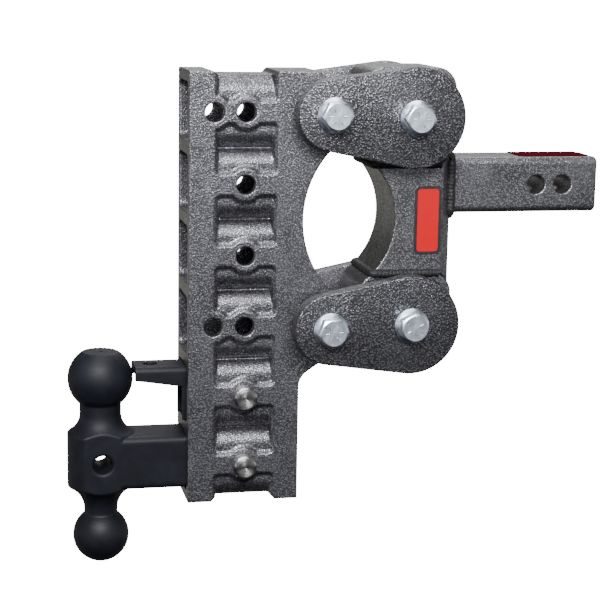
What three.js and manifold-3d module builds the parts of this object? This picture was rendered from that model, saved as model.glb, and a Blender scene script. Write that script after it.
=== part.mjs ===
// A drop hitch for a 2 inch receiver. Its slotted column hangs on rubber-torsion links and carries
// a dual ball mount.
// Millimetres. +X points to the vehicle, Y runs across it and +Z is up. The origin is the receiver pin hole.
import * as THREE from "three";
import { mergeVertices } from "three/addons/utils/BufferGeometryUtils.js";
import Module from "manifold-3d";

const INCH = 25.4;
const GAP = 0.3; // between pieces that touch
const ROUND = 24; // sides of an ordinary round piece
const RUNNING_ROUND = 32; // sides of the pivot pins and bushings, which turn on each other
const ARC_STEPS = 12; // of the long curved edges
const CLEAR = 60; // half length of a tool that cuts right through

// Main pieces, seen from the side: X to the vehicle, Z up.
const HALF_THICK = 1.375 * INCH; // half thickness of the column, knuckle and torsion housings
const KNUCKLE_BACK = -107.4; // where the shank meets the knuckle
const RIGHT_X = -149.8; // pivots in the torsion housings
const LEFT_X = -223.8; // pivots in the column
const MID_Z = -28.8; // half way between the upper and lower links
const RIGHT_RISE = 92.5; // half the distance between the right pivots
const LEFT_RISE = 95; // half the distance between the left pivots

// Receiver shank.
const SHANK_HALF = 25.3;
const SHANK_CORNER = 6;
const SHANK_END = 33.5;
const SHANK_BLUNT = 2;
const SHANK_HOLE_X = [0, -INCH];
const LABEL_X = -7;
const LABEL_HALF_LENGTH = 33;
const LABEL_HALF_WIDTH = 19;
const LABEL_CORNER = 2;
const LABEL_THICK = 0.4;
const PIN_HOLE = 8.35; // radius of every hole for a 5/8 inch pin or bolt
const HOLE_SIDES = 16;
const BOLT_SIDES = 18;
const BOLT_RADIUS = 7.94;

// Knuckle, the block between the torsion housings.
const KNUCKLE_ARC_RADIUS = 70;
const KNUCKLE_ARC_DEEPEST = -161;
const KNUCKLE_CHAMFER = 9.6;
const HEEL_DEPTH = 13; // how far the knuckle reaches round the corners of the housings at its back
const BADGE_X = -130.5;
const BADGE_Z = -30;
const BADGE_HALF_WIDTH = 12.5;
const BADGE_HALF_HEIGHT = 31;
const BADGE_CORNER = 5;
const BADGE_THICK = 0.4;

// Torsion housings, with a square bar at 45 degrees between four rubber cords.
const HOUSING_HALF = 43.2;
const HOUSING_CORNER = 19;
const CAVITY_HALF = 33.6;
const CAVITY_CORNER = 9;
const BAR_SIDE = 34;
const CORD_RADIUS = 11.7;
const CORD_HALF_LENGTH = 33.5;

// Links.
const PLATE_OUTER = 60;
const PLATE_THICK = 0.625 * INCH;
const PLATE_INNER = PLATE_OUTER - PLATE_THICK;
const PLATE_SMALL = 1.25 * INCH;
const PLATE_BIG = 1.75 * INCH;
const PLATE_BEVEL = 1.2;
const PIVOT_PIN_RADIUS = 15.8;
const BUSHING_BORE = { upper: 15.9, lower: 16.3 }; // the lower pivot has play
const BUSHING_OUTER = 18.7;
const WASHER_RADIUS = 24.5;
const BOLT_FLANGE = 16;
const BOLT_ACROSS_FLATS = 24;
const BOLT_HEAD = 15;
const BORE_DEPTH = 26; // of the bolt holes in the bars and pivot pins
const WELD_SIZE = 6; // of the bead round the shank
const BOLT_GRIP = PLATE_THICK + 24;

// Drop column.
const ROWS = 6;
const PITCH = 2.5 * INCH;
const HOLE_X = -296.6;
const ROW_1_Z = 66.75;
const EXTRA_HOLE_X = HOLE_X - 28.3;
const EXTRA_HOLE_ROWS = [0, 3];
const COLUMN_LEFT = -347.3;
const COLUMN_RIGHT = -246.6;
const COLUMN_TOP = 102.5;
const COLUMN_BOTTOM = -285;
const SHOULDER_X = -231; // right end of the column's top
const LUG_RADIUS = 27;
const WINDOW_RADIUS = 91;
const UNDERCUT_SLOPE = 34; // degrees, from the lower lug down to the column's edge
const UNDERCUT_FILLET = 17;
const CELL_END = -258.5;
const CELL_HALF_WIDTH = 26;
const CELL_HALF_HEIGHT = 25.9;
const CELL_CORNER = 6;
const BOSS_RADIUS = 13.9;
const POCKET_HALF_WIDTH = 28.2;
const POCKET_HALF_HEIGHT = PITCH / 2 - 8.4;
const POCKET_CORNER = 5;
const POCKET_DRAFT = 3.2; // how far the pocket's sides lean in, from the face down to its floor
const POCKET_FLOOR = 3.1; // depth of the pocket's flat parts
const POCKET_FILLET = 4.5; // between a boss and the pocket's straight edge
const WALL_ROUND = 15; // outer corners of the cells' walls, which meet in a valley across each pocket
const WALL_TURN = THREE.MathUtils.degToRad(75); // how far round a corner the valley reaches
const NOTCH_DROP = 3.5; // how far the ends of the column dip between their corners
const NOTCH_SLOPE = 4;

// Ball mount.
const BALL_X = -422.4;
const UPPER_BALL = { z: -174.6, radius: 2.3125 * INCH / 2, flat: 16, neck: 18.7 };
const LOWER_BALL = { z: -320.8, radius: INCH, flat: 7, neck: 15.2 };
const HUB_RADIUS = 30.1;
const HUB_TOP = -224.5;
const HUB_BOTTOM = -274;
const HUB_HALF_WIDTH = 25.4;
const MOUNT_CENTRE_Z = -249.6;
const MOUNT_HALF_HEIGHT = 24.1;
const MOUNT_CORNER = 5;
const MOUNT_END = -263;
const CROSS_HOLE_MOUTH = 1.6; // its countersink
const DIMPLE_RADIUS = 2.5;

// Pintle lock, a channel above the ball mount.
const LOCK_TOP = -162.6;
const LOCK_FREE_END = -392.5;
const LOCK_HALF_WIDTH = 18.5;
const LOCK_WALL = 5;
const LOCK_DEPTH = 49.5;
const LOCK_CHEEK = [12, 18.5]; // depth of its cheeks at the free end and at the leg
const LOCK_LEG_X = -350;
const LOCK_END = -276;
const LOCK_HOLE_X = -377.5;
const LOCK_HOLE = 6.3;

// Hitch pins and their clips.
const PIN_RADIUS = 7.9;
const PIN_HEAD = 10.2;
const PIN_HEAD_END = 47.5;
const PIN_TIP = 52;
const CLIP_Y = 45;
const CLIP_WIRE = 1.5;

const UPPER_Z = MID_Z + RIGHT_RISE;
const LOWER_Z = MID_Z - RIGHT_RISE;
const PIVOTS = {
  upper: { left: [LEFT_X, MID_Z + LEFT_RISE], right: [RIGHT_X, UPPER_Z] },
  lower: { left: [LEFT_X, MID_Z - LEFT_RISE], right: [RIGHT_X, LOWER_Z] },
};
const rowZ = (row) => ROW_1_Z - PITCH * row;

const paint = (color, roughness, metalness) =>
  new THREE.MeshStandardMaterial({ color, roughness, metalness, flatShading: true });
const COLUMN_PAINT = paint(0x6f7176, 0.45, 0.5);
const LINK_PAINT = paint(0x4a4b4e, 0.5, 0.5);
const KNUCKLE_PAINT = paint(0x5d5f62, 0.48, 0.5);
const BLACK_PAINT = paint(0x17181b, 0.5, 0.2);
const ZINC = paint(0xc4cdd3, 0.28, 1);
const STAINLESS = paint(0x9b9a94, 0.3, 1);
const SPRING_STEEL = paint(0xb9bcc0, 0.3, 1);
const BARE_STEEL = paint(0x7d7f82, 0.4, 1);
const BRONZE = paint(0xa8794a, 0.4, 1);
const RUBBER = paint(0x1c1c1d, 0.85, 0);
const WELD = paint(0x35363a, 0.5, 0.6);
const DECAL = paint(0xc8242b, 0.35, 0);
const LABEL = paint(0x5a1c1f, 0.5, 0);

const wasm = await Module();
wasm.setup();

// A closed geometry as a solid that can be joined and cut.
function solid(geometry) {
  geometry.deleteAttribute("normal");
  geometry.deleteAttribute("uv");
  const merged = mergeVertices(geometry, 1e-4);
  const corners = merged.index.array;
  const triVerts = [];
  for (let i = 0; i < corners.length; i += 3) {
    const [a, b, c] = corners.subarray(i, i + 3);
    if (a !== b && b !== c && a !== c) triVerts.push(a, b, c);
  }
  const vertProperties = merged.attributes.position.array;
  const mesh = new wasm.Mesh({ numProp: 3, vertProperties, triVerts: new Uint32Array(triVerts) });
  return new wasm.Manifold(mesh);
}

const join = (...solids) => solids.reduce((whole, next) => whole.add(next));
const cut = (whole, ...tools) => tools.reduce((left, tool) => left.subtract(tool), whole);

const hitch = new THREE.Group();

// Adds a solid to the hitch as a named mesh.
function addPiece(name, made, material) {
  const { numProp, vertProperties, triVerts } = made.getMesh();
  const positions = new Float32Array((vertProperties.length / numProp) * 3);
  for (let i = 0; i < positions.length / 3; i++) {
    positions.set(vertProperties.subarray(i * numProp, i * numProp + 3), i * 3);
  }
  const geometry = new THREE.BufferGeometry();
  geometry.setAttribute("position", new THREE.BufferAttribute(positions, 3));
  geometry.setIndex(new THREE.BufferAttribute(new Uint32Array(triVerts), 1));
  geometry.computeVertexNormals();
  const mesh = new THREE.Mesh(geometry, material);
  mesh.name = name;
  hitch.add(mesh);
}

// A shape given thickness from 0 to length. Its ends step in by bevel, over a thickness of bevelThick.
function extrude(shape, length, { bevel = 0, bevelThick = bevel, curveSegments = 3 } = {}) {
  return new THREE.ExtrudeGeometry(shape, {
    depth: length - 2 * bevelThick,
    bevelEnabled: bevel > 0,
    bevelThickness: bevelThick,
    bevelSize: bevel,
    bevelOffset: -bevel,
    bevelSegments: 1,
    curveSegments,
  }).translate(0, 0, bevelThick);
}

// A shape drawn in X and Z, from y0 to y1.
const plateXZ = (shape, y0, y1, options) =>
  solid(extrude(shape, y1 - y0, options).rotateX(Math.PI / 2).translate(0, y1, 0));

// A shape drawn in Y and Z, from x0 to x1.
const barYZ = (shape, x0, x1, options) =>
  solid(extrude(shape, x1 - x0, options).rotateX(Math.PI / 2).rotateZ(Math.PI / 2).translate(x0, 0, 0));

// A shape drawn in X and Y, from z0 to z1.
const slabXY = (shape, z0, z1, options) => solid(extrude(shape, z1 - z0, options).translate(0, 0, z0));

// A round bar along Y, which can taper to endRadius at y1.
function roundY([x, z], radius, y0, y1, sides = ROUND, endRadius = radius) {
  const geometry = new THREE.CylinderGeometry(endRadius, radius, y1 - y0, sides);
  return solid(geometry.translate(x, (y0 + y1) / 2, z));
}

function box(x0, x1, y0, y1, z0, z1) {
  const geometry = new THREE.BoxGeometry(x1 - x0, y1 - y0, z1 - z0);
  return solid(geometry.translate((x0 + x1) / 2, (y0 + y1) / 2, (z0 + z1) / 2));
}

function roundedRectangle(halfWidth, halfHeight, corner, centre = [0, 0]) {
  const [cx, cy] = centre;
  const shape = new THREE.Shape();
  const right = cx + halfWidth - corner;
  const left = cx - halfWidth + corner;
  const top = cy + halfHeight - corner;
  const bottom = cy - halfHeight + corner;
  shape.absarc(right, top, corner, 0, Math.PI / 2);
  shape.absarc(left, top, corner, Math.PI / 2, Math.PI);
  shape.absarc(left, bottom, corner, Math.PI, 1.5 * Math.PI);
  shape.absarc(right, bottom, corner, 1.5 * Math.PI, 2 * Math.PI);
  return shape;
}

function polygon(points) {
  return new THREE.Shape(points.map(([x, z]) => new THREE.Vector2(x, z)));
}

// The near side is at -Y and the far side at +Y.
const SIDES = { near: -1, far: 1 };
const LEVELS = ["upper", "lower"];

// A round bar on one side of the middle plane, from its inner end to its outer end.
function roundOut(side, centre, radius, inner, outer, sides = ROUND, outerRadius = radius) {
  return side > 0
    ? roundY(centre, radius, inner, outer, sides, outerRadius)
    : roundY(centre, outerRadius, -outer, -inner, sides, radius);
}

// A bead of weld run round a bar: a ring with sloping outer faces, cut to fit what it joins.
function weldRing(halfWidth, halfHeight, corner, centre = [0, 0]) {
  return roundedRectangle(halfWidth + WELD_SIZE, halfHeight + WELD_SIZE, corner + WELD_SIZE, centre);
}

// Square shank with two pin holes and a blunt tip, its bead of weld, and a plain label on its top face.
function buildShank() {
  const section = roundedRectangle(SHANK_HALF, SHANK_HALF, SHANK_CORNER);
  const bar = barYZ(section, KNUCKLE_BACK + GAP, SHANK_END, { bevel: SHANK_BLUNT });
  const holes = SHANK_HOLE_X.map((x) => roundY([x, 0], PIN_HOLE, -CLEAR, CLEAR, HOLE_SIDES));
  addPiece("receiver_shank", cut(bar, ...holes), KNUCKLE_PAINT);

  const face = KNUCKLE_BACK + GAP;
  const bead = barYZ(weldRing(SHANK_HALF, SHANK_HALF, SHANK_CORNER), face - WELD_SIZE, face + WELD_SIZE, {
    bevel: WELD_SIZE - 1,
  });
  const knuckleSide = box(face - 20, face, -CLEAR, CLEAR, -CLEAR, CLEAR);
  const clearShank = roundedRectangle(SHANK_HALF + GAP, SHANK_HALF + GAP, SHANK_CORNER);
  const core = barYZ(clearShank, face - 30, face + 30);
  addPiece("shank_weld", cut(bead, knuckleSide, core), WELD);

  const label = roundedRectangle(LABEL_HALF_LENGTH, LABEL_HALF_WIDTH, LABEL_CORNER, [LABEL_X, 0]);
  const underside = SHANK_HALF + GAP;
  addPiece("shank_label", slabXY(label, underside, underside + LABEL_THICK), LABEL);
}

// The knuckle's side outline: a block between the housings, hollowed on the left by a shallow arc.
function knuckleOutline(grow = 0) {
  const top = UPPER_Z - HOUSING_HALF - GAP + grow;
  const bottom = LOWER_Z + HOUSING_HALF + GAP - grow;
  const radius = KNUCKLE_ARC_RADIUS - grow;
  const centreX = KNUCKLE_ARC_DEEPEST - KNUCKLE_ARC_RADIUS;
  const lift = Math.asin((top - MID_Z) / radius);
  const shape = new THREE.Shape();
  shape.moveTo(KNUCKLE_BACK + grow, bottom);
  shape.lineTo(KNUCKLE_BACK + grow, top);
  shape.absarc(centreX, MID_Z, radius, lift, -lift, true);
  return shape;
}

// The room a housing takes, with a gap all round it.
function housingSpace(level) {
  const half = HOUSING_HALF + GAP;
  const outline = roundedRectangle(half, half, HOUSING_CORNER + GAP, PIVOTS[level].right);
  return plateXZ(outline, -HALF_THICK - GAP, HALF_THICK + GAP);
}

// The knuckle's block. Its back corners reach round the rounded corners of both housings.
function buildKnuckle() {
  const half = HALF_THICK;
  const chamfer = half - KNUCKLE_CHAMFER;
  const foot = RIGHT_RISE - HOUSING_HALF - GAP;
  const cornerX = RIGHT_X + HOUSING_HALF - HOUSING_CORNER;
  const heels = LEVELS.map((level) => {
    const towards = level === "upper" ? 1 : -1;
    const ends = [foot - 1, foot + HEEL_DEPTH].map((rise) => MID_Z + towards * rise);
    const heel = box(cornerX, KNUCKLE_BACK, -half, half, Math.min(...ends), Math.max(...ends));
    return cut(heel, housingSpace(level));
  });
  const block = join(plateXZ(knuckleOutline(), -half, half, { curveSegments: ARC_STEPS }), ...heels);
  const plan = polygon([
    [-250, -half],
    [KNUCKLE_BACK - KNUCKLE_CHAMFER, -half],
    [KNUCKLE_BACK, -chamfer],
    [KNUCKLE_BACK, chamfer],
    [KNUCKLE_BACK - KNUCKLE_CHAMFER, half],
    [-250, half],
  ]);
  addPiece("knuckle_block", block.intersect(slabXY(plan, -150, 100)), KNUCKLE_PAINT);

  const badge = roundedRectangle(BADGE_HALF_WIDTH, BADGE_HALF_HEIGHT, BADGE_CORNER, [BADGE_X, BADGE_Z]);
  addPiece("knuckle_badge", plateXZ(badge, -half - GAP - BADGE_THICK, -half - GAP), DECAL);
}

// A housing, its four cords, and the bead of weld round three sides of the knuckle's foot.
function buildHousing(level) {
  const centre = PIVOTS[level].right;
  const towardsKnuckle = level === "upper" ? -1 : 1;
  const outside = roundedRectangle(HOUSING_HALF, HOUSING_HALF, HOUSING_CORNER, centre);
  const inside = roundedRectangle(CAVITY_HALF, CAVITY_HALF, CAVITY_CORNER, centre);
  const blank = plateXZ(outside, -HALF_THICK, HALF_THICK, { bevel: 1, curveSegments: 4 });
  const tube = cut(blank, plateXZ(inside, -CLEAR, CLEAR));
  addPiece(`${level}_torsion_housing`, tube, KNUCKLE_PAINT);

  const seamZ = centre[1] + towardsKnuckle * HOUSING_HALF;
  const rise = UPPER_Z - HOUSING_HALF - MID_Z;
  const tipX = KNUCKLE_ARC_DEEPEST - KNUCKLE_ARC_RADIUS + Math.sqrt(KNUCKLE_ARC_RADIUS ** 2 - rise ** 2);
  const footX = (tipX + KNUCKLE_BACK) / 2;
  const footHalf = (KNUCKLE_BACK - tipX) / 2;
  const outline = roundedRectangle(footHalf + 3, HALF_THICK + 3, 4, [footX, 0]);
  const ring = slabXY(outline, seamZ - 5, seamZ + 5, { bevel: 2.6, bevelThick: 4, curveSegments: 2 });
  const knuckleSpace = plateXZ(knuckleOutline(GAP), -HALF_THICK - GAP, HALF_THICK + GAP, {
    curveSegments: ARC_STEPS,
  });
  const core = box(tipX, KNUCKLE_BACK, -HALF_THICK - GAP, HALF_THICK + GAP, seamZ - 8, seamZ + 8);
  const back = box(KNUCKLE_BACK - KNUCKLE_CHAMFER, KNUCKLE_BACK + 20, -CLEAR, CLEAR, seamZ - 8, seamZ + 8);
  addPiece(`${level}_housing_weld`, cut(ring, housingSpace(level), knuckleSpace, core, back), WELD);

  const offset = CAVITY_HALF - GAP - CORD_RADIUS;
  const corners = { front_top: [-1, 1], back_top: [1, 1], front_bottom: [-1, -1], back_bottom: [1, -1] };
  for (const [place, [dx, dz]] of Object.entries(corners)) {
    const axis = [centre[0] + dx * offset, centre[1] + dz * offset];
    const cord = roundY(axis, CORD_RADIUS, -CORD_HALF_LENGTH, CORD_HALF_LENGTH);
    addPiece(`${level}_cord_${place}`, cord, RUBBER);
  }
}

// The two blind holes for link bolts in the ends of a bar of half length end.
function boltBores(centre, end) {
  return Object.values(SIDES).map((side) =>
    roundOut(side, centre, PIN_HOLE, end - BORE_DEPTH, end + 1, HOLE_SIDES),
  );
}

// The square bar that twists inside a housing, bored at both ends for the link bolts.
function buildTorsionBar(level) {
  const centre = PIVOTS[level].right;
  const reach = BAR_SIDE / Math.SQRT2;
  const [x, z] = centre;
  const section = polygon([[x + reach, z], [x, z + reach], [x - reach, z], [x, z - reach]]);
  const end = PLATE_INNER - GAP;
  const bar = plateXZ(section, -end, end);
  addPiece(`${level}_torsion_bar`, cut(bar, ...boltBores(centre, end)), BARE_STEEL);
}

// The pin, bushings and thrust washers of a pivot in the column.
function buildColumnPivot(level) {
  const centre = PIVOTS[level].left;
  const end = PLATE_INNER - GAP;
  const pin = roundY(centre, PIVOT_PIN_RADIUS, -end, end, RUNNING_ROUND);
  addPiece(`${level}_pivot_pin`, cut(pin, ...boltBores(centre, end)), BARE_STEEL);
  for (const [place, side] of Object.entries(SIDES)) {
    const sleeve = cut(
      roundOut(side, centre, BUSHING_OUTER, 1.5, HALF_THICK - GAP, RUNNING_ROUND),
      roundY(centre, BUSHING_BORE[level], -CLEAR, CLEAR, RUNNING_ROUND),
    );
    addPiece(`${level}_bushing_${place}`, sleeve, BRONZE);
    const washer = cut(
      roundOut(side, centre, WASHER_RADIUS, HALF_THICK + GAP, PLATE_INNER - GAP),
      roundY(centre, PIVOT_PIN_RADIUS + 0.6, -CLEAR, CLEAR, ROUND),
    );
    addPiece(`${level}_thrust_washer_${place}`, washer, BARE_STEEL);
  }
}

// A teardrop link: two circles of different size and the straight lines that touch both.
function linkOutline(level) {
  const { left, right } = PIVOTS[level];
  const dx = right[0] - left[0];
  const dz = right[1] - left[1];
  const along = Math.atan2(dz, dx);
  const spread = Math.PI / 2 + Math.asin((PLATE_BIG - PLATE_SMALL) / Math.hypot(dx, dz));
  const shape = new THREE.Shape();
  shape.absarc(right[0], right[1], PLATE_BIG, along - spread, along + spread);
  shape.absarc(left[0], left[1], PLATE_SMALL, along + spread, along - spread + 2 * Math.PI);
  return shape;
}

// Hex flange bolt with its head outside the link plate.
function buildBolt(name, side, centre) {
  const seat = PLATE_OUTER + GAP;
  const hexRadius = BOLT_ACROSS_FLATS / Math.sqrt(3);
  const head = roundOut(side, centre, hexRadius, seat + 1, seat + BOLT_HEAD, 6);
  const top = seat + BOLT_HEAD;
  const crown = roundOut(side, centre, hexRadius + BOLT_HEAD - 2, seat, top, BOLT_SIDES, hexRadius - 2);
  const flange = roundOut(side, centre, BOLT_FLANGE, seat, seat + 2, BOLT_SIDES);
  const flare = roundOut(side, centre, BOLT_FLANGE, seat + 2, seat + 4.5, BOLT_SIDES, BOLT_ACROSS_FLATS / 2);
  const shank = roundOut(side, centre, BOLT_RADIUS, seat - BOLT_GRIP, seat + 1, HOLE_SIDES);
  addPiece(name, join(head.intersect(crown), flange, flare, shank), ZINC);
}

function buildLink(level) {
  const { left, right } = PIVOTS[level];
  for (const [place, side] of Object.entries(SIDES)) {
    const [y0, y1] = side > 0 ? [PLATE_INNER, PLATE_OUTER] : [-PLATE_OUTER, -PLATE_INNER];
    const plate = plateXZ(linkOutline(level), y0, y1, { bevel: PLATE_BEVEL, curveSegments: 10 });
    const holes = [left, right].map((centre) => roundY(centre, PIN_HOLE, y0 - 1, y1 + 1, HOLE_SIDES));
    addPiece(`${level}_link_plate_${place}`, cut(plate, ...holes), LINK_PAINT);
    buildBolt(`${level}_column_bolt_${place}`, side, left);
    buildBolt(`${level}_bar_bolt_${place}`, side, right);
  }
}

// The column's side outline: square corners on the left, two lugs with a round window edge between them.
function columnOutline() {
  const slope = THREE.MathUtils.degToRad(UNDERCUT_SLOPE);
  const [lugX, upperZ] = PIVOTS.upper.left;
  const lowerZ = PIVOTS.lower.left[1];
  const windowX = lugX + Math.sqrt((WINDOW_RADIUS + LUG_RADIUS) ** 2 - LEFT_RISE ** 2);
  const lean = Math.atan2(LEFT_RISE, windowX - lugX);
  const touchX = lugX + LUG_RADIUS * Math.sin(slope);
  const touchZ = lowerZ - LUG_RADIUS * Math.cos(slope);
  const filletEndX = COLUMN_RIGHT + UNDERCUT_FILLET * (1 - Math.sin(slope));
  const filletEndZ = touchZ + (filletEndX - touchX) * Math.tan(slope);
  const filletZ = filletEndZ - UNDERCUT_FILLET * Math.cos(slope);
  const shape = new THREE.Shape();
  shape.moveTo(COLUMN_LEFT, COLUMN_BOTTOM);
  shape.lineTo(COLUMN_RIGHT, COLUMN_BOTTOM);
  shape.absarc(COLUMN_RIGHT + UNDERCUT_FILLET, filletZ, UNDERCUT_FILLET, Math.PI, Math.PI / 2 + slope, true);
  shape.absarc(lugX, lowerZ, LUG_RADIUS, slope - Math.PI / 2, lean);
  shape.absarc(windowX, MID_Z, WINDOW_RADIUS, Math.PI + lean, Math.PI - lean, true);
  shape.absarc(lugX, upperZ, LUG_RADIUS, -lean, Math.PI / 2);
  shape.lineTo(SHOULDER_X, COLUMN_TOP);
  shape.lineTo(COLUMN_LEFT, COLUMN_TOP);
  return shape;
}

// A pocket's outline round its own centre, drawn in by inset. Its top and bottom edges bend round the
// bosses of the pin holes.
function pocketOutline(inset = 0) {
  const width = POCKET_HALF_WIDTH - inset;
  const edge = POCKET_HALF_HEIGHT - inset;
  const corner = POCKET_CORNER - inset;
  const fillet = POCKET_FILLET - inset;
  const boss = BOSS_RADIUS + inset;
  const bossZ = -PITCH / 2;
  const reach = Math.sqrt((boss + fillet) ** 2 - (fillet - edge - bossZ) ** 2);
  const lean = Math.atan2(fillet - edge - bossZ, reach);
  const shape = new THREE.Shape();
  for (const turn of [0, Math.PI]) {
    const flip = Math.cos(turn);
    const arc = (x, z, radius, from, to, clockwise = false) =>
      shape.absarc(flip * x, flip * z, radius, from + turn, to + turn, clockwise);
    arc(corner - width, corner - edge, corner, Math.PI, 1.5 * Math.PI);
    arc(-reach, fillet - edge, fillet, -Math.PI / 2, -lean);
    arc(0, bossZ, boss, Math.PI - lean, lean, true);
    arc(reach, fillet - edge, fillet, lean - Math.PI, -Math.PI / 2);
    arc(width - corner, corner - edge, corner, -Math.PI / 2, 0);
  }
  return shape;
}

// The profile of a pocket across its height: flat at the top and bottom, with a valley between the
// rounded walls of two cells.
function pocketProfile(outside) {
  const floor = POCKET_FLOOR - HALF_THICK;
  const halfHeight = POCKET_HALF_HEIGHT + 3;
  const shape = new THREE.Shape();
  shape.moveTo(outside, -halfHeight);
  shape.lineTo(floor, -halfHeight);
  shape.absarc(floor + WALL_ROUND, -WALL_ROUND, WALL_ROUND, Math.PI, Math.PI - WALL_TURN, true);
  shape.absarc(floor + WALL_ROUND, WALL_ROUND, WALL_ROUND, Math.PI + WALL_TURN, Math.PI, true);
  shape.lineTo(floor, halfHeight);
  shape.lineTo(outside, halfHeight);
  return shape;
}

// The tool that sinks a pocket into the near face, centred at the height z. Its sides lean in as far as
// the floor and drop straight from there into the valley.
function pocketTool(z) {
  const face = -HALF_THICK;
  const outside = face - 12;
  const floor = face + POCKET_FLOOR;
  const bottom = floor + WALL_ROUND;
  const foot = POCKET_DRAFT + 0.2;
  const rim = plateXZ(pocketOutline(), outside, floor, {
    bevel: POCKET_DRAFT,
    bevelThick: POCKET_FLOOR,
    curveSegments: 2,
  });
  const well = plateXZ(pocketOutline(foot), outside + 4, bottom, { curveSegments: 2 });
  const profile = barYZ(pocketProfile(outside + 1), -400, -200, { curveSegments: 5 });
  const tool = join(rim, well).translate([HOLE_X, 0, z]).intersect(profile.translate([0, 0, z]));
  const bosses = EXTRA_HOLE_ROWS.map((row) => {
    const centre = [EXTRA_HOLE_X, rowZ(row)];
    return join(
      roundY(centre, BOSS_RADIUS, face, floor, ROUND, BOSS_RADIUS + POCKET_DRAFT),
      roundY(centre, BOSS_RADIUS + foot, floor - 0.1, bottom + 1),
    );
  });
  return cut(tool, ...bosses);
}

// The dip in the column's top or bottom end, between its corners.
function notchTool(z, direction) {
  const half = POCKET_HALF_WIDTH + 1;
  const outer = z + direction * 5;
  const inner = z - direction * NOTCH_DROP;
  const outline = [
    [HOLE_X - half - NOTCH_SLOPE * 5 / NOTCH_DROP, outer],
    [HOLE_X - half + NOTCH_SLOPE, inner],
    [HOLE_X + half - NOTCH_SLOPE, inner],
    [HOLE_X + half + NOTCH_SLOPE * 5 / NOTCH_DROP, outer],
  ];
  return plateXZ(polygon(direction < 0 ? outline : outline.reverse()), -CLEAR, CLEAR);
}

function buildColumn() {
  const rows = Array.from({ length: ROWS }, (_, row) => row);
  const blank = plateXZ(columnOutline(), -HALF_THICK, HALF_THICK, { curveSegments: ARC_STEPS });
  const cells = rows.map((row) =>
    barYZ(
      roundedRectangle(CELL_HALF_WIDTH, CELL_HALF_HEIGHT, CELL_CORNER, [0, rowZ(row)]),
      COLUMN_LEFT - 1,
      CELL_END,
      { curveSegments: 2 },
    ),
  );
  const nearPockets = [-1, ...rows].map((row) => pocketTool(rowZ(row) - PITCH / 2));
  const farPockets = nearPockets.map((tool) => tool.mirror([0, 1, 0]));
  const through = (centre) => roundY(centre, PIN_HOLE, -CLEAR, CLEAR, HOLE_SIDES);
  const pinHoles = rows.map((row) => through([HOLE_X, rowZ(row)]));
  const extraHoles = EXTRA_HOLE_ROWS.map((row) => through([EXTRA_HOLE_X, rowZ(row)]));
  const lugBores = LEVELS.map((level) =>
    roundY(PIVOTS[level].left, BUSHING_OUTER + GAP, -CLEAR, CLEAR, RUNNING_ROUND),
  );
  const notches = [notchTool(COLUMN_TOP, 1), notchTool(COLUMN_BOTTOM, -1)];
  const hollowed = cut(blank, ...cells, ...nearPockets, ...farPockets);
  addPiece("drop_column", cut(hollowed, ...pinHoles, ...extraHoles, ...lugBores, ...notches), COLUMN_PAINT);
}

// Points of a ball's profile, from an angle above its lowest point to another.
function ballProfile({ z, radius }, from, to, steps = 10) {
  return Array.from({ length: steps + 1 }, (_, i) => {
    const angle = from + ((to - from) * i) / steps;
    return new THREE.Vector2(radius * Math.sin(angle), z - radius * Math.cos(angle));
  });
}

// A hollow curve of the post, bent towards a control point.
function flare(from, control, to) {
  const points = [from, control, to].map(([r, z]) => new THREE.Vector2(r, z));
  return new THREE.QuadraticBezierCurve(...points).getPoints(5);
}

// Two balls on one forged post: a flat-sided hub with a square shank that slides into the column.
function buildBallMount() {
  const lower = LOWER_BALL;
  const upper = UPPER_BALL;
  const topZ = upper.z + Math.sqrt(upper.radius ** 2 - upper.flat ** 2);
  const bottomZ = lower.z - Math.sqrt(lower.radius ** 2 - lower.flat ** 2);
  const reach = (ball, distance) => Math.asin(distance / ball.radius);
  const profile = [
    new THREE.Vector2(0, bottomZ),
    ...ballProfile(lower, reach(lower, lower.flat), Math.PI - reach(lower, lower.neck)),
    ...flare([lower.neck, HUB_BOTTOM - 22], [lower.neck + 0.5, HUB_BOTTOM - 8], [HUB_RADIUS, HUB_BOTTOM]),
    ...flare([HUB_RADIUS, HUB_TOP], [upper.neck + 0.4, HUB_TOP + 6.5], [upper.neck, HUB_TOP + 17.5]),
    ...ballProfile(upper, reach(upper, upper.neck), Math.PI - reach(upper, upper.flat)),
    new THREE.Vector2(DIMPLE_RADIUS, topZ),
    new THREE.Vector2(0, topZ - DIMPLE_RADIUS),
  ];
  const post = solid(new THREE.LatheGeometry(profile, 28).rotateX(Math.PI / 2).translate(BALL_X, 0, 0));
  const half = HUB_HALF_WIDTH;
  const side = (y0, y1) => box(BALL_X - CLEAR, BALL_X + CLEAR, y0, y1, HUB_BOTTOM - 19, HUB_TOP + 8.5);
  const flats = [side(-CLEAR, -half), side(half, CLEAR)];
  const section = roundedRectangle(half, MOUNT_HALF_HEIGHT, MOUNT_CORNER, [0, MOUNT_CENTRE_Z]);
  const shank = barYZ(section, BALL_X, MOUNT_END, { bevel: 3 });
  const crossHole = [BALL_X, MOUNT_CENTRE_Z];
  const mouthRadius = PIN_HOLE + CROSS_HOLE_MOUTH;
  const mouths = Object.values(SIDES).map((side) =>
    roundOut(side, crossHole, PIN_HOLE, half - CROSS_HOLE_MOUTH, half + 0.01, ROUND, mouthRadius),
  );
  const holes = [crossHole, [HOLE_X, rowZ(5)]].map((centre) => roundY(centre, PIN_HOLE, -CLEAR, CLEAR));
  addPiece("dual_ball_mount", cut(join(cut(post, ...flats), shank), ...mouths, ...holes), BLACK_PAINT);
}

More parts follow.
